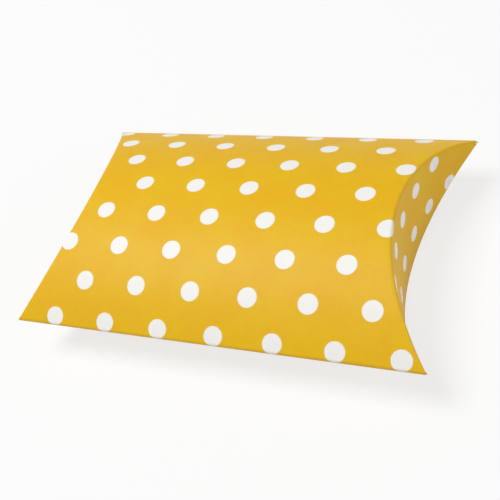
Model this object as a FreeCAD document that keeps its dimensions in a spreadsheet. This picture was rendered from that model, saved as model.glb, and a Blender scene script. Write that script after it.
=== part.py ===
import FreeCAD, Part
import math
import os
import Sketcher

# Pillow box: one die-cut card blank, folded into a lens-shaped tube, glued along one side
# and closed at each end by an inner and an outer curved flap.
#
# Frame: +X along the side folds, +Y from the plain fold to the glued fold, +Z up through the
# front panel's crown. The origin lies under the middle of the back panel's belly.
# Every piece is drawn about the mid-plane between the two crowns and then raised by half
# the depth. Sizes are in millimetres.

doc = FreeCAD.newDocument("pillow_box")
sheet = doc.addObject("Spreadsheet::Sheet", "Sizes")

driving_sizes = [
    ("length", "102"),              # along the side folds, corner to corner
    ("width", "66.5"),              # across the side folds
    ("depth", "24"),                # from crown to crown
    ("card", "0.4"),                # thickness of the board
    ("fold_inside", "0.4"),         # inside radius of the plain side fold
    ("seam_inside", "0.2"),         # inside radius of the fold that carries the glue flap
    ("glue_flap_reach", "10"),      # width of the glue flap, measured across the box
    ("glue_flap_setback", "3"),     # how far the glue flap stops short of the back panel's ends
    ("glue_film", "0.08"),          # thickness of the dried glue
    ("bond_gap", "0.02"),           # clearance between the glue and the board, on each side
    ("glue_width", "6"),            # width of the glue line, measured across the box
    ("glue_inset", "2"),            # bare strip between the glued fold and the glue line
    ("glue_end_inset", "11"),       # bare length of seam at each end of the glue line
    ("hinge_gap", "0.2"),           # clearance between a panel's end and its own flap
    ("lap_gap", "0.2"),             # clearance between an inner flap and the outer flap over it
    ("free_edge_gap", "0.3"),       # clearance between a flap's edge and the facing panel's line
    ("inner_tip_setback", "3"),     # how far an inner flap's tips stop short of the side folds
    ("inner_edge_rise", "3.6"),     # crown of an inner flap's free edge above the mid-plane
]

# Both panels are shells of one radius. The radius makes the panel's arc and the small arc of
# the side fold run into each other without a kink.
derived_sizes = [
    ("half_depth", "=depth / 2"),
    ("half_width", "=width / 2"),
    ("fold_radius", "=fold_inside + card"),
    ("seam_radius", "=seam_inside + card"),
    ("panel_radius", "=(half_width^2 + half_depth^2 - fold_radius * width)"
                     " / (2 * (half_depth - fold_radius))"),
    ("panel_inside", "=panel_radius - card"),
    ("axis_drop", "=panel_radius - half_depth"),
    ("fold_centre", "=half_width - fold_radius"),
    ("fold_edge", "=fold_centre * panel_radius / (panel_radius - fold_radius)"),
    # The glue flap lies inside the back panel, one board and one glue film further in.
    ("glue_outside", "=panel_inside - bond_gap"),
    ("glue_inside", "=glue_outside - glue_film"),
    ("tab_radius", "=glue_inside - bond_gap"),
    ("tab_inside", "=tab_radius - card"),
    ("seam_rise", "=((panel_radius - seam_radius)^2 - (tab_radius - seam_radius)^2)"
                  " / (4 * axis_drop)"),
    ("seam_centre", "=sqrt((panel_radius - seam_radius)^2 - (axis_drop + seam_rise)^2)"),
    ("seam_edge", "=seam_centre * panel_radius / (panel_radius - seam_radius)"),
    ("tab_edge", "=seam_centre * tab_radius / (tab_radius - seam_radius)"),
    ("tab_free_edge", "=tab_edge - glue_flap_reach"),
    ("glue_outer_edge", "=tab_edge - glue_inset"),
    ("glue_inner_edge", "=glue_outer_edge - glue_width"),
    ("glue_length", "=length - 2 * glue_end_inset"),
    # Seen from above, each end is an arc of the panel's own radius, so the curved crease lies
    # in a plane at 45 degrees. The arc runs through the two corners of the box.
    ("end_axis", "=length / 2 + sqrt(panel_radius^2 - half_width^2)"),
    ("outer_flap_inside", "=panel_radius + card"),
    ("front_end_radius", "=outer_flap_inside + hinge_gap"),
    ("inner_flap_face", "=outer_flap_inside + lap_gap"),
    ("inner_flap_inside", "=inner_flap_face + card"),
    ("back_end_radius", "=inner_flap_inside + hinge_gap"),
    ("tab_end_radius", "=back_end_radius + glue_flap_setback"),
    ("inner_half", "=half_width - inner_tip_setback"),
    ("lower_edge_axis", "=axis_drop + free_edge_gap"),
    ("inner_edge_radius", "=(half_width^2 + inner_edge_rise^2) / (2 * inner_edge_rise)"),
    ("inner_edge_drop", "=inner_edge_radius - inner_edge_rise"),
    ("cut_height", "=2 * depth"),
    ("cut_length", "=2 * length"),
]

for row, (alias, text) in enumerate(driving_sizes + derived_sizes, start=1):
    sheet.set("A%d" % row, alias)
    sheet.set("B%d" % row, text)
    sheet.setAlias("B%d" % row, alias)
doc.recompute()

up = FreeCAD.Vector(0, 0, 1)
start, end, centre_point = range(1, 4)              # the points of a line or an arc
across, upright = range(-1, -3, -1)                 # the two axes of a sketch
origin_point = (across, start)
axis_lines = {"X": upright, "Y": across}            # where that coordinate is zero
bodies = []


def value(where):
    # A coordinate is an alias, an alias with a minus sign, or None for zero.
    if where is None:
        return 0.0
    size = sheet.get(where.lstrip("-"))
    return -size if where.startswith("-") else size


def new_body(name):
    body = doc.addObject("PartDesign::Body", name)
    body.Label = name
    body.setExpression("Placement.Base.z", "Sizes.half_depth")
    bodies.append(body)
    return body


def new_sketch(body, name, role):
    sketch = body.newObject("Sketcher::SketchObject", body.Name + "_" + name)
    plane = [item for item in body.Origin.OriginFeatures if item.Role == role][0]
    sketch.AttachmentSupport = [(plane, "")]
    sketch.MapMode = "FlatFace"
    return sketch


def place(sketch, geometry, point, axis, where):
    if where is None:
        sketch.addConstraint(Sketcher.Constraint("PointOnObject", geometry, point, axis_lines[axis]))
        return
    ends = origin_point + (geometry, point)
    if where.startswith("-"):
        ends = (geometry, point) + origin_point
    size = abs(value(where))
    index = sketch.addConstraint(Sketcher.Constraint("Distance" + axis, *ends, size))
    sketch.setExpression("Constraints[%d]" % index, "Sizes." + where.lstrip("-"))


def set_radius(sketch, geometry, alias):
    index = sketch.addConstraint(Sketcher.Constraint("Radius", geometry, value(alias)))
    sketch.setExpression("Constraints[%d]" % index, "Sizes." + alias)


def join(sketch, first, first_point, second, second_point):
    sketch.addConstraint(Sketcher.Constraint("Coincident", first, first_point, second, second_point))


def angle_to(middle, radius, axis, where, side):
    # The angle of the circle's point with that coordinate, above or below the centre for an X
    # coordinate, right or left of it for a Y coordinate.
    if axis == "X":
        return side * math.acos((value(where) - middle.x) / radius)
    lean = math.asin((value(where) - middle.y) / radius)
    return lean if side > 0 else math.pi - lean


def add_arc(sketch, centre, radius, angles):
    middle = FreeCAD.Vector(value(centre[0]), value(centre[1]), 0)
    circle = Part.Circle(middle, up, value(radius))
    return sketch.addGeometry(Part.ArcOfCircle(circle, angles[0], angles[1]), False)


def band_sketch(body, name, role, centre, radii, ends):
    # A strip of board seen on its edge: two arcs about one centre, closed by radial ends.
    # Each end is given by a coordinate of the first arc, counter-clockwise.
    sketch = new_sketch(body, name, role)
    middle = FreeCAD.Vector(value(centre[0]), value(centre[1]), 0)
    angles = [angle_to(middle, value(radii[0]), axis, where, side) for axis, where, side in ends]
    if angles[1] < angles[0]:
        angles[1] += 2 * math.pi
    arcs = [add_arc(sketch, centre, radius, angles) for radius in radii]
    place(sketch, arcs[0], centre_point, "X", centre[0])
    place(sketch, arcs[0], centre_point, "Y", centre[1])
    join(sketch, arcs[0], centre_point, arcs[1], centre_point)
    for arc, radius in zip(arcs, radii):
        set_radius(sketch, arc, radius)
    for point, angle, (axis, where, side) in zip((start, end), angles, ends):
        ray = FreeCAD.Vector(math.cos(angle), math.sin(angle), 0)
        corners = [middle + ray * value(radius) for radius in radii]
        line = sketch.addGeometry(Part.LineSegment(corners[0], corners[1]), False)
        join(sketch, arcs[0], point, line, start)
        join(sketch, arcs[1], point, line, end)
        sketch.addConstraint(Sketcher.Constraint("PointOnObject", arcs[0], centre_point, line))
        place(sketch, arcs[0], point, axis, where)
    return sketch


def pad(body, sketch, alias):
    feature = body.newObject("PartDesign::Pad", sketch.Name + "_pad")
    feature.Profile = sketch
    feature.SideType = "Symmetric"
    feature.setExpression("Length", "Sizes." + alias)
    doc.recompute()


def pocket(body, sketch, alias):
    before = body.Shape.Volume
    feature = body.newObject("PartDesign::Pocket", sketch.Name + "_pocket")
    feature.Profile = sketch
    feature.SideType = "Symmetric"
    feature.setExpression("Length", "Sizes." + alias)
    doc.recompute()
    if not body.Shape.Volume < before:
        raise RuntimeError(sketch.Name + " removed nothing")


def cut_ends(body, radius):
    # The two ends of a panel follow the arc of the flaps, seen from above.
    sketch = new_sketch(body, "ends", "XY_Plane")
    for where in ("end_axis", "-end_axis"):
        circle = Part.Circle(FreeCAD.Vector(value(where), 0, 0), up, value(radius))
        index = sketch.addGeometry(circle, False)
        place(sketch, index, centre_point, "X", where)
        place(sketch, index, centre_point, "Y", None)
        set_radius(sketch, index, radius)
    pocket(body, sketch, "cut_height")


def cut_outline(body, half, upper, lower):
    # What lies outside a flap's outline is cut away, seen along the box. The outline has an
    # upper and a lower arc, each given by its centre's height and its radius.
    sketch = new_sketch(body, "outline", "YZ_Plane")
    wide, high = value("width"), value("depth")
    corners = [FreeCAD.Vector(x, y, 0) for x, y in
               ((wide, high), (-wide, high), (-wide, -high), (wide, -high))]
    frame = []
    for index in range(4):
        line = Part.LineSegment(corners[index], corners[(index + 1) % 4])
        frame.append(sketch.addGeometry(line, False))
    for index in range(4):
        join(sketch, frame[index], end, frame[(index + 1) % 4], start)
        direction = "Vertical" if index % 2 else "Horizontal"
        sketch.addConstraint(Sketcher.Constraint(direction, frame[index]))
    place(sketch, frame[0], start, "X", "width")
    place(sketch, frame[0], start, "Y", "depth")
    place(sketch, frame[2], start, "X", "-width")
    place(sketch, frame[2], start, "Y", "-depth")

    arcs = []
    for (height, radius), side in ((upper, 1), (lower, -1)):
        middle = FreeCAD.Vector(0, value(height), 0)
        right = angle_to(middle, value(radius), "X", half, side)
        left = angle_to(middle, value(radius), "X", "-" + half, side)
        spots = [right, left] if side > 0 else [left, right]
        arc = add_arc(sketch, (None, height), radius, spots)
        place(sketch, arc, centre_point, "X", None)
        place(sketch, arc, centre_point, "Y", height)
        set_radius(sketch, arc, radius)
        place(sketch, arc, start if side > 0 else end, "X", half)
        place(sketch, arc, end if side > 0 else start, "X", "-" + half)
        arcs.append(arc)
    for upper_end, lower_end in ((start, end), (end, start)):
        points = [sketch.getPoint(arcs[0], upper_end), sketch.getPoint(arcs[1], lower_end)]
        tip = sketch.addGeometry(Part.LineSegment(points[0], points[1]), False)
        join(sketch, arcs[0], upper_end, tip, start)
        join(sketch, arcs[1], lower_end, tip, end)
    pocket(body, sketch, "cut_length")


def strip(name, centre, radii, ends, length):
    # A strip of constant section along the box.
    body = new_body(name)
    pad(body, band_sketch(body, "section", "YZ_Plane", centre, radii, ends), length)
    return body


def flap(name, turned, radii, half, upper, lower):
    # A flap stands across the end of the box. Its outer face is hollow, seen from above.
    body = new_body(name)
    if turned:
        body.Placement.Rotation = FreeCAD.Rotation(up, 180)
    ends = [("Y", half, -1), ("Y", "-" + half, -1)]
    plan = band_sketch(body, "plan", "XY_Plane", ("end_axis", None), radii, ends)
    pad(body, plan, "depth")
    cut_outline(body, half, upper, lower)


# The two panels are mirror images, apart from their edges at the glued fold.
front_panel = strip("front_panel", (None, "-axis_drop"), ("panel_radius", "panel_inside"),
                    [("X", "seam_edge", 1), ("X", "-fold_edge", 1)], "length")
cut_ends(front_panel, "front_end_radius")

back_panel = strip("back_panel", (None, "axis_drop"), ("panel_radius", "panel_inside"),
                   [("X", "-fold_edge", -1), ("X", "half_width", -1)], "length")
cut_ends(back_panel, "back_end_radius")

# The side folds run on from the panels' edges and stop behind the tips of the outer flaps.
spine_fold = strip("spine_fold", ("-fold_centre", None), ("fold_radius", "fold_inside"),
                   [("X", "-fold_edge", 1), ("X", "-fold_edge", -1)], "length")
cut_ends(spine_fold, "front_end_radius")
seam_fold = strip("seam_fold", ("seam_centre", "seam_rise"), ("seam_radius", "seam_inside"),
                  [("X", "tab_edge", -1), ("X", "seam_edge", 1)], "length")
cut_ends(seam_fold, "front_end_radius")

# The glue flap hangs from the glued fold, inside the back panel.
glue_flap = strip("glue_flap", (None, "axis_drop"), ("tab_radius", "tab_inside"),
                  [("X", "tab_free_edge", -1), ("X", "tab_edge", -1)], "length")
cut_ends(glue_flap, "tab_end_radius")
strip("glue_line", (None, "axis_drop"), ("glue_outside", "glue_inside"),
      [("X", "glue_inner_edge", -1), ("X", "glue_outer_edge", -1)], "glue_length")

# Each end has an outer flap on the front panel, and under it an inner flap on the back panel.
for hand, turned in (("right", False), ("left", True)):
    flap(hand + "_outer_flap", turned, ("panel_radius", "outer_flap_inside"), "half_width",
         ("-axis_drop", "panel_radius"), ("lower_edge_axis", "panel_radius"))
    flap(hand + "_inner_flap", turned, ("inner_flap_face", "inner_flap_inside"), "inner_half",
         ("-inner_edge_drop", "inner_edge_radius"), ("axis_drop", "panel_radius"))

doc.recompute()
for item in doc.Objects:
    if "Invalid" in item.State or "Error" in item.State:
        raise RuntimeError(item.Name + " failed: " + ", ".join(item.State))
for body in bodies:
    if body.Shape.isNull() or not body.Shape.isValid() or len(body.Shape.Solids) != 1:
        raise RuntimeError(body.Label + " is not one valid solid")

os.makedirs("parts", exist_ok=True)
for body in bodies:
    body.Shape.exportStep("parts/" + body.Label + ".step")
    box = body.Shape.BoundBox
    print("%-18s volume %8.2f  x %7.3f %7.3f  y %7.3f %7.3f  z %7.3f %7.3f" % (
        body.Label, body.Shape.Volume, box.XMin, box.XMax, box.YMin, box.YMax, box.ZMin, box.ZMax))
print("outer hinge at x %.3f, z %.3f" % (value("end_axis") - value("panel_radius"), value("depth")))
print("inner hinge at x %.3f, z 0" % (value("end_axis") - value("inner_flap_face")))
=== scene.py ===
import math

import bmesh
import bpy
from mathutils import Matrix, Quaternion, Vector


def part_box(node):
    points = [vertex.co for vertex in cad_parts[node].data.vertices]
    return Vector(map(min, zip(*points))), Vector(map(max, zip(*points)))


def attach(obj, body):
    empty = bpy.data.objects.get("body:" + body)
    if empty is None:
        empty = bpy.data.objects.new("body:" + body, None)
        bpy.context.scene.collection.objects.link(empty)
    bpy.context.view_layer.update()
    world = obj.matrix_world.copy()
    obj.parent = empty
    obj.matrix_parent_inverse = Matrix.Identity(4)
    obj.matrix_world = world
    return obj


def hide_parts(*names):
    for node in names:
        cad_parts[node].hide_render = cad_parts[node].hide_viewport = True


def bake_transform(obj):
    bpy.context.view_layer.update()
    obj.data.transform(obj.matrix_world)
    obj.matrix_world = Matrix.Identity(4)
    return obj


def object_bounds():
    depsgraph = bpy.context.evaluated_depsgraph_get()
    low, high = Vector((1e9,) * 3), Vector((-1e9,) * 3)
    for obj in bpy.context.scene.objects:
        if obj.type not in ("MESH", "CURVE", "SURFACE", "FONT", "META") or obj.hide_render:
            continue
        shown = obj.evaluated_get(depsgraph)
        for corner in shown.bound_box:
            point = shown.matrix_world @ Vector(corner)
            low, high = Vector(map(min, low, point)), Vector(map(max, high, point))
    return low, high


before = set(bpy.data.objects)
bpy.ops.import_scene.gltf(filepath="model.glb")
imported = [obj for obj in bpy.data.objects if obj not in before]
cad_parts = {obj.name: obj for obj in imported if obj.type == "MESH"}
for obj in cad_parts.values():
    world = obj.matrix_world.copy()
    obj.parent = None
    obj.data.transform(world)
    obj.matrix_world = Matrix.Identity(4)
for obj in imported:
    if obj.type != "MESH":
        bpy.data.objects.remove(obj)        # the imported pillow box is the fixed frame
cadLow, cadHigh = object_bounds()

mm = 0.001
scene = bpy.context.scene
hands = {"right": 1, "left": -1}        # the two ends, and which way along the box each lies

# Board and bends
board = {
    "thickness": 0.4 * mm,
    "spineInside": 0.4 * mm,        # inside radius of the plain side fold
    "seamInside": 0.2 * mm,         # inside radius of the glued side fold
    "lapGap": 0.2 * mm,             # room between an outer flap and the inner one under it
    "creaseReach": 0.6 * mm,        # a curved crease is rounded this far to each side
    "creaseSegments": 4,
    "creaseBand": 1.0 * mm,         # strip of panel that goes with the flap's piece
    "rollStep": math.radians(0.8),  # turn from one ruling of a panel to the next
    "foldSteps": 48,
    "weld": 0.005 * mm,             # corners closer than this become one
    "cutSnap": 0.00001 * mm,        # a cut takes what lies this close as lying on it
}

halfLength = (cadHigh.x - cadLow.x) / 2
halfWidth = (cadHigh.y - cadLow.y) / 2
halfDepth = (cadHigh.z - cadLow.z) / 2
midHeight = (cadHigh.z + cadLow.z) / 2

# A panel's arc runs into the small arc of the side fold without a kink
spineRadius = board["spineInside"] + board["thickness"]
seamRadius = board["seamInside"] + board["thickness"]
panelRadius = ((halfWidth ** 2 + halfDepth ** 2 - 2 * spineRadius * halfWidth)
               / (2 * (halfDepth - spineRadius)))
axisDrop = panelRadius - halfDepth      # a panel's axis lies this far past the mid-plane
endAxis = halfLength + math.sqrt(panelRadius ** 2 - halfWidth ** 2)     # upright axis of an end's hollow
spineCentre = halfWidth - spineRadius
spineAngle = math.asin(spineCentre / (panelRadius - spineRadius))

# The glue flap lies inside the back panel, with the glue between them
glue = {
    "film": 0.08 * mm,
    "bondGap": 0.02 * mm,           # room on each side of the film
    "flapReach": 10 * mm,           # width of the glue flap
    "flapTaper": math.radians(30),  # slant of its two ends
    "steps": 14,
}
glueRadius = panelRadius - board["thickness"] - glue["bondGap"]
tabRadius = glueRadius - glue["film"] - glue["bondGap"]
seamRise = ((panelRadius - seamRadius) ** 2 - (tabRadius - seamRadius) ** 2) / (4 * axisDrop)
seamCentre = math.sqrt((panelRadius - seamRadius) ** 2 - (axisDrop + seamRise) ** 2)
seamAngle = math.asin(seamCentre / (panelRadius - seamRadius))
tabAngle = math.asin(seamCentre / (tabRadius - seamRadius))

# Places across the flat blank, from the front panel's crown
spineTurn = math.pi - 2 * spineAngle
seamTurn = math.pi - seamAngle - tabAngle
spineSpan = spineRadius * spineTurn
seamSpan = seamRadius * seamTurn
backCrown = -2 * panelRadius * spineAngle - spineSpan
print("box", [round(2 * size / mm, 2) for size in (halfLength, halfWidth, halfDepth)],
      "panel radius", round(panelRadius / mm, 3))


# Sheet work with bmesh

def panelRise(angle):
    # height of a panel over the mid-plane, at an angle from its crown
    return panelRadius * math.cos(angle) - axisDrop


def creaseX(angle, inset):
    # distance of a curved crease from the middle of the box
    return endAxis - inset - panelRadius * math.cos(angle)


def panelPoint(x, angle, side):
    # side is 1 on the front panel and -1 on the back panel
    return Vector((x, panelRadius * math.sin(angle), midHeight + side * panelRise(angle)))


def ruling(mesh, first, last):
    ends = [mesh.verts.new(first), mesh.verts.new(last)]
    return ends + [mesh.edges.new(ends)]


def roll(mesh, geom, centre, axis, angle, steps):
    spun = bmesh.ops.spin(mesh, geom=geom, cent=centre, axis=axis, angle=angle, steps=steps,
                          use_merge=False, use_duplicate=False)
    return spun["geom_last"]


def stepsFor(first, last):
    return max(1, round((last - first) / board["rollStep"]))


def cut(mesh, faces, point, normal, trim=False):
    # splits the faces along a plane, and with trim takes away what lies outside it
    geom = dict.fromkeys(faces)
    for face in faces:
        geom.update(dict.fromkeys(face.edges))
        geom.update(dict.fromkeys(face.verts))
    bmesh.ops.bisect_plane(mesh, geom=list(geom), dist=board["cutSnap"], plane_co=point, plane_no=normal,
                           clear_outer=trim)


def faceOut(mesh, outward):
    # open sheets: the side that looks along outward is the printed side
    bmesh.ops.recalc_face_normals(mesh, faces=mesh.faces[:])
    facing = sum(face.normal.dot(outward) * face.calc_area() for face in mesh.faces)
    if facing < 0:
        bmesh.ops.reverse_faces(mesh, faces=mesh.faces[:])


def layPrint(mesh, place):
    # place gives a vertex its spot on the flat blank and its distance to the nearest fold
    blank = mesh.loops.layers.uv.new("blank")
    foldGap = mesh.verts.layers.float.new("foldGap")
    for vert in mesh.verts:
        u, v, gap = place(vert.co)
        vert[foldGap] = gap
        for loop in vert.link_loops:
            loop[blank].uv = u, v


def newPiece(name, mesh):
    for face in mesh.faces:
        face.smooth = True
    for edge in mesh.edges:
        edge.smooth = not edge.is_boundary      # a cut edge stays crisp once the board has thickness
    data = bpy.data.meshes.new(name)
    mesh.to_mesh(data)
    mesh.free()
    piece = bpy.data.objects.new(name, data)
    scene.collection.objects.link(piece)
    return piece


def thicken(piece, thickness, outside, inside, edge):
    for material in (outside, inside, edge):
        piece.data.materials.append(material)
    shell = piece.modifiers.new("board", "SOLIDIFY")
    shell.thickness = thickness
    shell.offset = -1
    shell.use_even_offset = True
    shell.use_quality_normals = True
    shell.material_offset = 1
    shell.material_offset_rim = 2


def joinSleeve(piece, node):
    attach(piece, "sleeve")
    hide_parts(node)


# Shader maths

class Wire:
    # one output socket of a material's nodes; sums on wires add Math nodes
    def __init__(self, tree, socket=None):
        self.tree = tree
        self.socket = socket

    def node(self, kind, settings, sockets, output=0):
        made = self.tree.nodes.new(kind)
        for key, setting in settings.items():
            setattr(made, key, setting)
        for key, feed in sockets.items():
            if isinstance(feed, Wire):
                self.tree.links.new(feed.socket, made.inputs[key])
            else:
                made.inputs[key].default_value = feed
        return Wire(self.tree, made.outputs[output] if made.outputs else None)

    def math(self, operation, *others):
        return self.node("ShaderNodeMath", {"operation": operation}, dict(enumerate((self, *others))))

    def __add__(self, other):
        return self.math("ADD", other)

    def __radd__(self, other):
        return self.math("ADD", other)

    def __sub__(self, other):
        return self.math("SUBTRACT", other)

    def __rsub__(self, other):
        return self.node("ShaderNodeMath", {"operation": "SUBTRACT"}, {0: other, 1: self})

    def __mul__(self, other):
        return self.math("MULTIPLY", other)

    def __rmul__(self, other):
        return self.math("MULTIPLY", other)

    def __truediv__(self, other):
        return self.math("DIVIDE", other)

    def __rtruediv__(self, other):
        return self.node("ShaderNodeMath", {"operation": "DIVIDE"}, {0: other, 1: self})

    def between(self, low, high):
        # 0 below low, 1 above high, with a soft rise
        return self.node("ShaderNodeMapRange", {"interpolation_type": "SMOOTHSTEP"},
                         {"Value": self, "From Min": low, "From Max": high})

    def mixed(self, first, second):
        # this wire is the share of the second colour
        return self.node("ShaderNodeMix", {"data_type": "RGBA"}, {0: self, 6: first, 7: second}, 2)

    def noise(self, grain):
        # this wire is the place; a grain's size is the width of one blotch
        return self.node("ShaderNodeTexNoise", {}, {
            "Vector": self,
            "Scale": 1 / grain["size"],
            "Detail": grain["detail"],
            "Roughness": grain["roughness"],
        })

    def swing(self, width):
        # noise about its middle, as a swing to both sides of 0
        return (self - 0.5) * width


def newMaterial(name):
    material = bpy.data.materials.new(name)
    material.use_nodes = True
    material.node_tree.nodes.clear()
    return material, Wire(material.node_tree)


def placeOf(wire):
    return wire.node("ShaderNodeTexCoord", {}, {}, "Object")


def axisOf(wire, axis):
    return wire.node("ShaderNodeSeparateXYZ", {}, {"Vector": wire}, axis)


def bumped(height, distance):
    return height.node("ShaderNodeBump", {}, {"Height": height, "Distance": distance, "Strength": 1.0})


def closeMaterial(wire, sockets):
    shader = wire.node("ShaderNodeBsdfPrincipled", {}, sockets)
    wire.node("ShaderNodeOutputMaterial", {}, {"Surface": shader})


# Finishes
panelDots = {
    "diameter": 4.6 * mm,
    "startU": -39.8 * mm,       # one dot of the first row, along the box
    "startV": -34.0 * mm,       # the first row, across the blank from the crown
    "pitchU": 14.26 * mm,       # from dot to dot in a row
    "pitchV": 18.9 * mm,        # from row to row but one; the row between is moved by half a pitch
    "side": -1,                 # printed on the panel's side of the crease
    "creaseGap": 0.0,
}
flapDots = {
    "diameter": 3.8 * mm,
    "startU": 46.0 * mm,        # the same at both ends
    "startV": 20.3 * mm,
    "pitchU": 20.4 * mm,
    "pitchV": 9.0 * mm,
    "side": 1,
    "creaseGap": 2.4 * mm,      # no dot's middle lies nearer to the crease
}
printInk = {
    "ink": (0.82, 0.515, 0.003, 1),
    "inkWarm": (0.83, 0.44, 0.004, 1),
    "white": (0.94, 0.93, 0.89, 1),
    "worn": (0.90, 0.72, 0.36, 1),
    "cloud": {"size": 9 * mm, "detail": 3, "roughness": 0.55},      # slow drift of the ink's tone
    "mottle": {"size": 1.5 * mm, "detail": 3, "roughness": 0.6},    # patches that took up more ink
    "fibre": {"size": 0.2 * mm, "detail": 4, "roughness": 0.65},
    "wander": {"size": 0.5 * mm, "detail": 2, "roughness": 0.5},    # uneven run of the ink's edge
    "fleck": {"size": 0.35 * mm, "detail": 3, "roughness": 0.5},    # spots in which a fold is rubbed
    "warmBand": (0.35, 0.65),       # the noise in this band turns the ink warm, by these shares
    "cloudShare": 0.4,
    "mottleShare": 0.3,
    "fibreShare": 0.3,
    "thinBand": (0.58, 0.72),       # on the highest fibres the card shows through the ink
    "thinShare": 0.3,
    "edgeBlur": 0.12 * mm,          # soft rim of a dot
    "edgeWander": 0.10 * mm,        # how far a dot's rim strays
    "wearWidth": 0.55 * mm,         # the ink is rubbed this far from a fold's outermost line
    "wearBand": (0.48, 0.62),
    "wearShare": 0.2,
    "roughness": 0.54,
    "roughnessSwing": 0.1,
    "wearRoughness": 0.4,
    "specular": 0.22,
    "varnish": 0.03,
    "varnishRoughness": 0.25,
    "fibreHeight": 0.025 * mm,
}


def creaseAt(v):
    # where the curved crease lies along the box; both panels curve alike about their crowns
    fromCrown = v.math("ABSOLUTE").math("MINIMUM", (v - backCrown).math("ABSOLUTE"))
    return endAxis - (fromCrown / panelRadius).math("COSINE") * panelRadius


def nearestRow(place, first, pitch):
    return ((place - first) / pitch).math("ROUND") * pitch + first


def dotMask(u, v, wander, dots):
    # a dot belongs to the panel or the flap under its middle, and runs on over the crease
    gaps = []
    for half in (0, 0.5):       # every other row is moved by half a pitch
        midU = nearestRow(u, dots["startU"] + half * dots["pitchU"], dots["pitchU"])
        midV = nearestRow(v, dots["startV"] + half * dots["pitchV"], dots["pitchV"])
        awayU, awayV = u - midU, v - midV
        pastCrease = midU.math("ABSOLUTE") - creaseAt(midV)
        leftOut = (pastCrease * dots["side"]).math("LESS_THAN", dots["creaseGap"])
        gaps.append((awayU * awayU + awayV * awayV).math("SQRT") + leftOut * dots["pitchU"])
    reach = gaps[0].math("MINIMUM", gaps[1]) + wander.swing(printInk["edgeWander"])
    radius = dots["diameter"] / 2
    return 1 - reach.between(radius - printInk["edgeBlur"], radius + printInk["edgeBlur"])


def dottedPrint():
    # yellow ink with the dots left white, under a thin satin varnish
    material, wire = newMaterial("dottedPrint")
    place = placeOf(wire)
    blank = wire.node("ShaderNodeUVMap", {"uv_map": "blank"}, {}, "UV")
    u, v = axisOf(blank, "X"), axisOf(blank, "Y")
    foldGap = wire.node("ShaderNodeAttribute", {"attribute_name": "foldGap"}, {}, "Fac")
    cloud = place.noise(printInk["cloud"])
    mottle = place.noise(printInk["mottle"])
    fibre = place.noise(printInk["fibre"])
    wander = place.noise(printInk["wander"])
    fleck = place.noise(printInk["fleck"])
    onPanel = dotMask(u, v, wander, panelDots)
    onFlap = dotMask(u.math("ABSOLUTE"), v, wander, flapDots)
    warm = (cloud.between(*printInk["warmBand"]) * printInk["cloudShare"]
            + mottle.between(*printInk["warmBand"]) * printInk["mottleShare"]
            + fibre.between(*printInk["warmBand"]) * printInk["fibreShare"])
    thin = fibre.between(*printInk["thinBand"]) * printInk["thinShare"]
    ink = thin.mixed(warm.mixed(printInk["ink"], printInk["inkWarm"]), printInk["worn"])
    colour = onPanel.math("MAXIMUM", onFlap).mixed(ink, printInk["white"])
    nearFold = 1 - foldGap.between(0, printInk["wearWidth"])
    wear = nearFold * fleck.between(*printInk["wearBand"]) * printInk["wearShare"]
    gloss = cloud.swing(printInk["roughnessSwing"]) + fibre.swing(printInk["roughnessSwing"])
    closeMaterial(wire, {
        "Base Color": wear.mixed(colour, printInk["worn"]),
        "Roughness": printInk["roughness"] + gloss + wear * printInk["wearRoughness"],
        "Specular IOR Level": printInk["specular"],
        "Coat Weight": printInk["varnish"],
        "Coat Roughness": printInk["varnishRoughness"],
        "Normal": bumped(fibre, printInk["fibreHeight"]),
    })
    return material


bareCard = {
    "pale": (0.83, 0.81, 0.76, 1),
    "deep": (0.72, 0.69, 0.62, 1),
    "felt": {"size": 1.6 * mm, "detail": 5, "roughness": 0.6},
    "feltBand": (0.3, 0.7),
    "feltShare": 0.45,
    "fibre": {"size": 0.16 * mm, "detail": 3, "roughness": 0.6},
    "fibreScale": (0.18, 1, 1),     # the fibres are drawn out along the box
    "fibreBand": (0.60, 0.72),
    "fibreShare": 0.5,
    "roughness": 0.85,
    "roughnessSwing": 0.1,
    "height": 0.02 * mm,
    "fibreLift": 0.7,               # shares of that height
    "feltLift": 0.5,
}


def bareBoard():
    # the unprinted inside: matt, with felt marks and a few darker fibres
    material, wire = newMaterial("bareBoard")
    place = placeOf(wire)
    felt = place.noise(bareCard["felt"])
    drawnOut = wire.node("ShaderNodeMapping", {}, {"Vector": place, "Scale": bareCard["fibreScale"]})
    fibre = drawnOut.noise(bareCard["fibre"])
    tone = (felt.between(*bareCard["feltBand"]) * bareCard["feltShare"]
            + fibre.between(*bareCard["fibreBand"]) * bareCard["fibreShare"])
    relief = fibre * bareCard["fibreLift"] + felt * bareCard["feltLift"]
    closeMaterial(wire, {
        "Base Color": tone.mixed(bareCard["pale"], bareCard["deep"]),
        "Roughness": bareCard["roughness"] + felt.swing(bareCard["roughnessSwing"]),
        "Normal": bumped(relief, bareCard["height"]),
    })
    return material


cutPulp = {
    "pale": (0.80, 0.77, 0.70, 1),
    "deep": (0.62, 0.56, 0.45, 1),
    "pulp": {"size": 0.12 * mm, "detail": 4, "roughness": 0.7},
    "pulpBand": (0.35, 0.7),
    "roughness": 0.85,
    "roughnessSwing": 0.1,
    "height": 0.03 * mm,
}


def cutEdge():
    # the die-cut edge: layered pulp, a little darker than the face
    material, wire = newMaterial("cutEdge")
    pulp = placeOf(wire).noise(cutPulp["pulp"])
    closeMaterial(wire, {
        "Base Color": pulp.between(*cutPulp["pulpBand"]).mixed(cutPulp["pale"], cutPulp["deep"]),
        "Roughness": cutPulp["roughness"] + pulp.swing(cutPulp["roughnessSwing"]),
        "Normal": bumped(pulp, cutPulp["height"]),
    })
    return material


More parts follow.
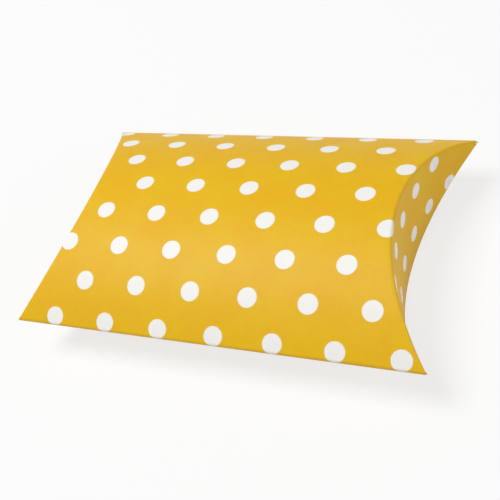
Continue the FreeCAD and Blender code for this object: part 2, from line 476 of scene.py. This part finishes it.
glueFilm = {
    "pale": (0.80, 0.76, 0.62, 1),
    "deep": (0.72, 0.66, 0.48, 1),
    "ripple": {"size": 1.2 * mm, "detail": 3, "roughness": 0.5},
    "roughness": 0.3,
    "rippleRoughness": 0.2,
    "height": 0.02 * mm,
}


def driedGlue():
    # a thin dried film, a little yellow and uneven
    material, wire = newMaterial("driedGlue")
    ripple = placeOf(wire).noise(glueFilm["ripple"])
    closeMaterial(wire, {
        "Base Color": ripple.mixed(glueFilm["pale"], glueFilm["deep"]),
        "Roughness": glueFilm["roughness"] + ripple * glueFilm["rippleRoughness"],
        "Normal": bumped(ripple, glueFilm["height"]),
    })
    return material


dottedCard = dottedPrint()
bareInside = bareBoard()
cutCard = cutEdge()
gluePaste = driedGlue()
print("finishes", [material.name for material in (dottedCard, bareInside, cutCard, gluePaste)])


# Panels with their flaps
flaps = {
    "freeEdgeGap": 0.3 * mm,    # an outer flap stops this far from the back panel's crown
    "tipSetback": 3 * mm,       # an inner flap's tips stop this far from the side folds
    "innerReach": 3.6 * mm,     # an inner flap ends this far past the mid-plane
    "rowStep": 0.6 * mm,        # rows of a flap that run along its crease
    "bendLength": 9 * mm,       # stretch down a flap, past its crease band, in which an opening flap would bend; nothing here bends it
}
innerTipAngle = math.asin((halfWidth - flaps["tipSetback"]) / panelRadius)
rawEdgeAngle = math.asin(halfWidth / panelRadius)
frontSheet = {
    "panel": "front_panel",
    "flap": "outer",
    "side": 1,
    "angles": (-spineAngle, -spineAngle, seamAngle, seamAngle),     # panel edge, flap tips, panel edge
    "creaseInset": 0,
    "flapReach": halfDepth - flaps["freeEdgeGap"],      # how far the free edge lies past the mid-plane
    "flapLean": 1.0,                                    # how the free edge falls away towards the tips
}
backSheet = {
    "panel": "back_panel",
    "flap": "inner",
    "side": -1,
    "angles": (-spineAngle, -innerTipAngle, innerTipAngle, rawEdgeAngle),
    "creaseInset": board["thickness"] + board["lapGap"],
    "flapReach": flaps["innerReach"],
    "flapLean": 0.317,
}
panelPart, wallPart, roundPart = 1, 2, 3        # numbers on the faces, times -1 at the left end
diagonal = math.sqrt(0.5)


def creasePlane(sheet, hand, depth=0):
    # the plane of a curved crease, or one that lies deeper, measured down the flap
    outward = Vector((hand, 0, sheet["side"])) * diagonal
    crown = panelPoint(hand * creaseX(0, sheet["creaseInset"]), 0, sheet["side"])
    return crown - outward * (depth * diagonal), outward


def facesOf(mesh, part, number):
    return [face for face in mesh.faces if face[part] == number]


def rollPanel(mesh, part, sheet):
    # one ruling along the box, rolled over the crown
    side, angles = sheet["side"], sheet["angles"]
    first, last = (panelPoint(x, angles[0], side) for x in (-2 * halfLength, 2 * halfLength))
    geom = ruling(mesh, first, last)
    for start, stop in zip(angles, angles[1:]):
        if stop > start:
            geom = roll(mesh, geom, (0, 0, midHeight - side * axisDrop), (-side, 0, 0),
                        stop - start, stepsFor(start, stop))
    for face in mesh.faces:
        face[part] = panelPart
    for hand in hands.values():
        cut(mesh, facesOf(mesh, part, panelPart), *creasePlane(sheet, hand), trim=True)


def rollFlap(mesh, part, sheet, hand):
    # an upright ruling, rolled along the hollow of one end
    side, wall = sheet["side"], wallPart * hand
    start, stop = sheet["angles"][1:3]
    tip = Vector((hand * creaseX(start, sheet["creaseInset"]), panelRadius * math.sin(start), midHeight))
    up = Vector((0, 0, 2 * halfDepth))
    geom = ruling(mesh, tip - up, tip + up)
    roll(mesh, geom, (hand * (endAxis - sheet["creaseInset"]), 0, 0), (0, 0, -hand),
         stop - start, stepsFor(start, stop))
    for face in facesOf(mesh, part, 0):
        face[part] = wall
    crown, outward = creasePlane(sheet, hand)
    cut(mesh, facesOf(mesh, part, wall), crown, outward, trim=True)
    freeEdge = Vector((crown.x, 0, midHeight - side * sheet["flapReach"]))
    cut(mesh, facesOf(mesh, part, wall), freeEdge, (hand * sheet["flapLean"], 0, -side), trim=True)


def roundCreases(mesh, part):
    creases = [edge for edge in mesh.edges if len({face[part] for face in edge.link_faces}) == 2]
    rounded = bmesh.ops.bevel(mesh, geom=creases, offset=board["creaseReach"], offset_type="OFFSET",
                              segments=board["creaseSegments"], profile=0.5, affect="EDGES", material=-1,
                              clamp_overlap=False, loop_slide=True)
    for face in rounded["faces"]:
        face[part] = int(math.copysign(roundPart, face.calc_center_median().x))


def addRows(mesh, part, sheet, hand):
    # a strip of panel goes with the flap, and the flap gets rows to bend in
    point, outward = creasePlane(sheet, hand, board["creaseBand"])
    cut(mesh, facesOf(mesh, part, panelPart), point, outward)
    for face in facesOf(mesh, part, panelPart):
        if (face.calc_center_median() - point).dot(outward) > 0:
            face[part] = roundPart * hand
    depth = board["creaseReach"] + flaps["rowStep"]
    while depth < halfDepth + sheet["flapReach"]:
        cut(mesh, facesOf(mesh, part, wallPart * hand), *creasePlane(sheet, hand, depth))
        depth += flaps["rowStep"]


def buildSheet(sheet):
    mesh = bmesh.new()
    part = mesh.faces.layers.int.new("part")
    rollPanel(mesh, part, sheet)
    for hand in hands.values():
        rollFlap(mesh, part, sheet, hand)
    bmesh.ops.remove_doubles(mesh, verts=mesh.verts[:], dist=board["weld"])
    faceOut(mesh, Vector((0, 0, sheet["side"])))
    roundCreases(mesh, part)
    for hand in hands.values():
        addRows(mesh, part, sheet, hand)
    return mesh


def sheetSpot(sheet):
    side, inset = sheet["side"], sheet["creaseInset"]

    def spot(co):
        angle = math.asin(co.y / panelRadius)
        fall = panelRise(angle) - side * (co.z - midHeight)     # distance down a flap from its crease
        u = co.x + math.copysign(fall, co.x)
        gaps = [abs(abs(u) - creaseX(angle, inset)), spineSpan / 2 + panelRadius * (spineAngle + angle)]
        if side < 0:
            return u, backCrown - panelRadius * angle, min(gaps)
        gaps.append(seamSpan / 2 + panelRadius * (seamAngle - angle))
        return u, panelRadius * angle, min(gaps)

    return spot


def takePiece(mesh, numbers, name):
    taken = mesh.copy()
    part = taken.faces.layers.int["part"]
    others = [face for face in taken.faces if face[part] not in numbers]
    bmesh.ops.delete(taken, geom=others, context="FACES")
    taken.faces.layers.int.remove(part)
    return newPiece(name, taken)


def makeSheet(sheet):
    mesh = buildSheet(sheet)
    layPrint(mesh, sheetSpot(sheet))
    panel = takePiece(mesh, (panelPart,), sheet["panel"] + "_card")
    thicken(panel, board["thickness"], dottedCard, bareInside, cutCard)
    joinSleeve(panel, sheet["panel"])
    for word, hand in hands.items():
        body = word + "_" + sheet["flap"]
        flap = takePiece(mesh, (wallPart * hand, roundPart * hand), body + "_flap_card")
        thicken(flap, board["thickness"], dottedCard, bareInside, cutCard)
        bendStart = creasePlane(sheet, hand, board["creaseBand"])[0]
        bendEnd = creasePlane(sheet, hand, board["creaseBand"] + flaps["bendLength"])[0]
        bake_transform(flap)
        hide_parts(body + "_flap")
    mesh.free()
    print("sheet", sheet["panel"], "with", sheet["flap"], "flaps")


makeSheet(frontSheet)
makeSheet(backSheet)


# Side folds

def endSlope(angle, inset):
    # a fold's end runs from the rounded crease of the panel to the tip of the box
    rounding = board["creaseReach"] * math.hypot(1, math.sin(angle)) / 2
    return (halfLength - creaseX(angle, inset) + rounding) / panelRise(angle)


spineFold = {
    "node": "spine_fold",
    "centre": (-spineCentre, midHeight),
    "radius": spineRadius,
    "start": -spineAngle,
    "turn": -spineTurn,
    "slopes": (endSlope(spineAngle, 0), endSlope(spineAngle, backSheet["creaseInset"])),
    "blank": -panelRadius * spineAngle,
}
seamFold = {
    "node": "seam_fold",
    "centre": (seamCentre, midHeight + seamRise),
    "radius": seamRadius,
    "start": seamAngle,
    "turn": seamTurn,
    "slopes": (endSlope(seamAngle, 0), endSlope(seamAngle, backSheet["creaseInset"])),
    "blank": panelRadius * seamAngle,
}


def makeFold(fold):
    centre = Vector((0, *fold["centre"]))
    radius, start, turn = fold["radius"], fold["start"], fold["turn"]
    away = math.copysign(1, turn)       # which way across the box the fold points
    first = centre + Vector((0, radius * math.sin(start), radius * math.cos(start)))
    along = Vector((2 * halfLength, 0, 0))
    mesh = bmesh.new()
    geom = ruling(mesh, first - along, first + along)
    roll(mesh, geom, centre, (-away, 0, 0), abs(turn), board["foldSteps"])
    for hand in hands.values():
        tip = (hand * halfLength, 0, midHeight)
        for side, slope in zip((1, -1), fold["slopes"]):
            cut(mesh, mesh.faces[:], tip, (hand, 0, side * slope), trim=True)
    faceOut(mesh, Vector((0, away, 0)))

    def spot(co):
        angle = math.atan2(co.y - centre.y, co.z - centre.z) - start
        return co.x, fold["blank"] + radius * angle, radius * abs(angle - turn / 2)

    layPrint(mesh, spot)
    piece = newPiece(fold["node"] + "_card", mesh)
    thicken(piece, board["thickness"], dottedCard, bareInside, dottedCard)      # its ends meet the flaps
    joinSleeve(piece, fold["node"])
    print("fold", fold["node"])


makeFold(spineFold)
makeFold(seamFold)


# Glue flap and glue line

def tabStrip(radius, firstY, lastY):
    firstAngle, lastAngle = (math.asin(y / radius) for y in (firstY, lastY))
    centre = Vector((0, 0, midHeight + axisDrop))
    first = centre + radius * Vector((0, math.sin(firstAngle), -math.cos(firstAngle)))
    along = Vector((halfLength, 0, 0))
    mesh = bmesh.new()
    geom = ruling(mesh, first - along, first + along)
    roll(mesh, geom, centre, (1, 0, 0), lastAngle - firstAngle, glue["steps"])
    return mesh


def makeGlueFlap():
    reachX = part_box("glue_flap")[1].x
    edge = tabRadius * math.sin(tabAngle)
    mesh = tabStrip(tabRadius, edge - glue["flapReach"], edge)
    for hand in hands.values():
        normal = (hand * math.cos(glue["flapTaper"]), -math.sin(glue["flapTaper"]), 0)
        cut(mesh, mesh.faces[:], (hand * reachX, edge, 0), normal, trim=True)
    faceOut(mesh, Vector((0, 0, -1)))
    piece = newPiece("glue_flap_card", mesh)
    thicken(piece, board["thickness"], bareInside, bareInside, cutCard)
    joinSleeve(piece, "glue_flap")


def makeGlueLine():
    low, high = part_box("glue_line")
    mesh = tabStrip(glueRadius, low.y * glueRadius / (glueRadius - glue["film"]), high.y)
    for hand in hands.values():
        cut(mesh, mesh.faces[:], (hand * high.x, 0, 0), (hand, 0, 0), trim=True)
    faceOut(mesh, Vector((0, 0, -1)))
    piece = newPiece("glue_line_film", mesh)
    thicken(piece, glue["film"], gluePaste, gluePaste, gluePaste)
    joinSleeve(piece, "glue_line")


makeGlueFlap()
makeGlueLine()
print("glue flap and glue line")


# Camera at the photograph's place
photoView = {
    "aim": Vector((2.918, -5.661, 12)) * mm,
    "azimuth": math.radians(35.83),
    "elevation": math.radians(47.0),
    "roll": math.radians(23.11),
    "distance": 202.9 * mm,
    "lens": 60.47,
    "sensor": 36.0,
    "nearest": 10 * mm,
}


def makeCamera(view):
    level = math.cos(view["elevation"])
    back = Vector((math.sin(view["azimuth"]) * level, -math.cos(view["azimuth"]) * level,
                   math.sin(view["elevation"])))
    data = bpy.data.cameras.new("photoCamera")
    data.lens = view["lens"]
    data.sensor_width = view["sensor"]
    data.clip_start = view["nearest"]
    camera = bpy.data.objects.new("photoCamera", data)
    camera.location = view["aim"] + back * view["distance"]
    camera.rotation_mode = "QUATERNION"
    camera.rotation_quaternion = (-back).to_track_quat("-Z", "Y") @ Quaternion((0, 0, 1), -view["roll"])
    scene.collection.objects.link(camera)
    scene.camera = camera


makeCamera(photoView)


# Floor, light and background
plainWhite = (1, 1, 1, 1)
studio = {
    "floorSize": 6.0,
    "floorGap": 0.02 * mm,          # the floor lies this far under the belly
    "floorColour": (0.90, 0.90, 0.895, 1),
    "floorGlow": 0.76,              # share of plain white that the camera sees in the floor
    "fade": (0.15, 0.60),           # and from here to here it turns into the white background
    "skyLight": 0.14,
}
lamps = {
    "keyPanel": {"place": Vector((-0.40, -0.06, 0.95)), "size": 0.45, "power": 8.8},
    "fillPanel": {"place": Vector((0.70, -0.10, 0.25)), "size": 0.40, "power": 1.45},
}


def seenRays(wire):
    # rays that show the background: straight to the camera, in gloss and through clear things
    rays = [wire.node("ShaderNodeLightPath", {}, {}, name)
            for name in ("Is Camera Ray", "Is Glossy Ray", "Is Transmission Ray")]
    return rays[0].math("MAXIMUM", rays[1]).math("MAXIMUM", rays[2])


def makeFloor():
    mesh = bmesh.new()
    bmesh.ops.create_grid(mesh, x_segments=1, y_segments=1, size=studio["floorSize"] / 2)
    bmesh.ops.translate(mesh, verts=mesh.verts[:], vec=(0, 0, cadLow.z - studio["floorGap"]))
    floor = newPiece("floor", mesh)
    material, wire = newMaterial("floorPaper")
    paper = wire.node("ShaderNodeBsdfDiffuse", {}, {"Color": studio["floorColour"]})
    glow = wire.node("ShaderNodeEmission", {}, {"Color": plainWhite, "Strength": 1.0})
    away = wire.node("ShaderNodeVectorMath", {"operation": "LENGTH"}, {0: placeOf(wire)}, "Value")
    white = studio["floorGlow"] + away.between(*studio["fade"]) * (1 - studio["floorGlow"])
    both = wire.node("ShaderNodeMixShader", {}, {0: seenRays(wire) * white, 1: paper, 2: glow})
    wire.node("ShaderNodeOutputMaterial", {}, {"Surface": both})
    floor.data.materials.append(material)


def makeSky():
    world = bpy.data.worlds.new("studioSky")
    world.use_nodes = True
    world.node_tree.nodes.clear()
    wire = Wire(world.node_tree)
    soft = wire.node("ShaderNodeBackground", {}, {"Color": plainWhite, "Strength": studio["skyLight"]})
    white = wire.node("ShaderNodeBackground", {}, {"Color": plainWhite, "Strength": 1.0})
    both = wire.node("ShaderNodeMixShader", {}, {0: seenRays(wire), 1: soft, 2: white})
    wire.node("ShaderNodeOutputWorld", {}, {"Surface": both})
    scene.world = world


def makeLamp(name, lamp):
    data = bpy.data.lights.new(name, "AREA")
    data.shape = "SQUARE"
    data.size = lamp["size"]
    data.energy = lamp["power"]
    panel = bpy.data.objects.new(name, data)
    panel.location = lamp["place"]
    panel.rotation_mode = "QUATERNION"
    panel.rotation_quaternion = (-lamp["place"]).to_track_quat("-Z", "Y")
    scene.collection.objects.link(panel)


makeFloor()
makeSky()
for lampName, lamp in lamps.items():
    makeLamp(lampName, lamp)
scene.view_settings.view_transform = "Standard"
print("camera, floor and light")

bpy.context.view_layer.update()
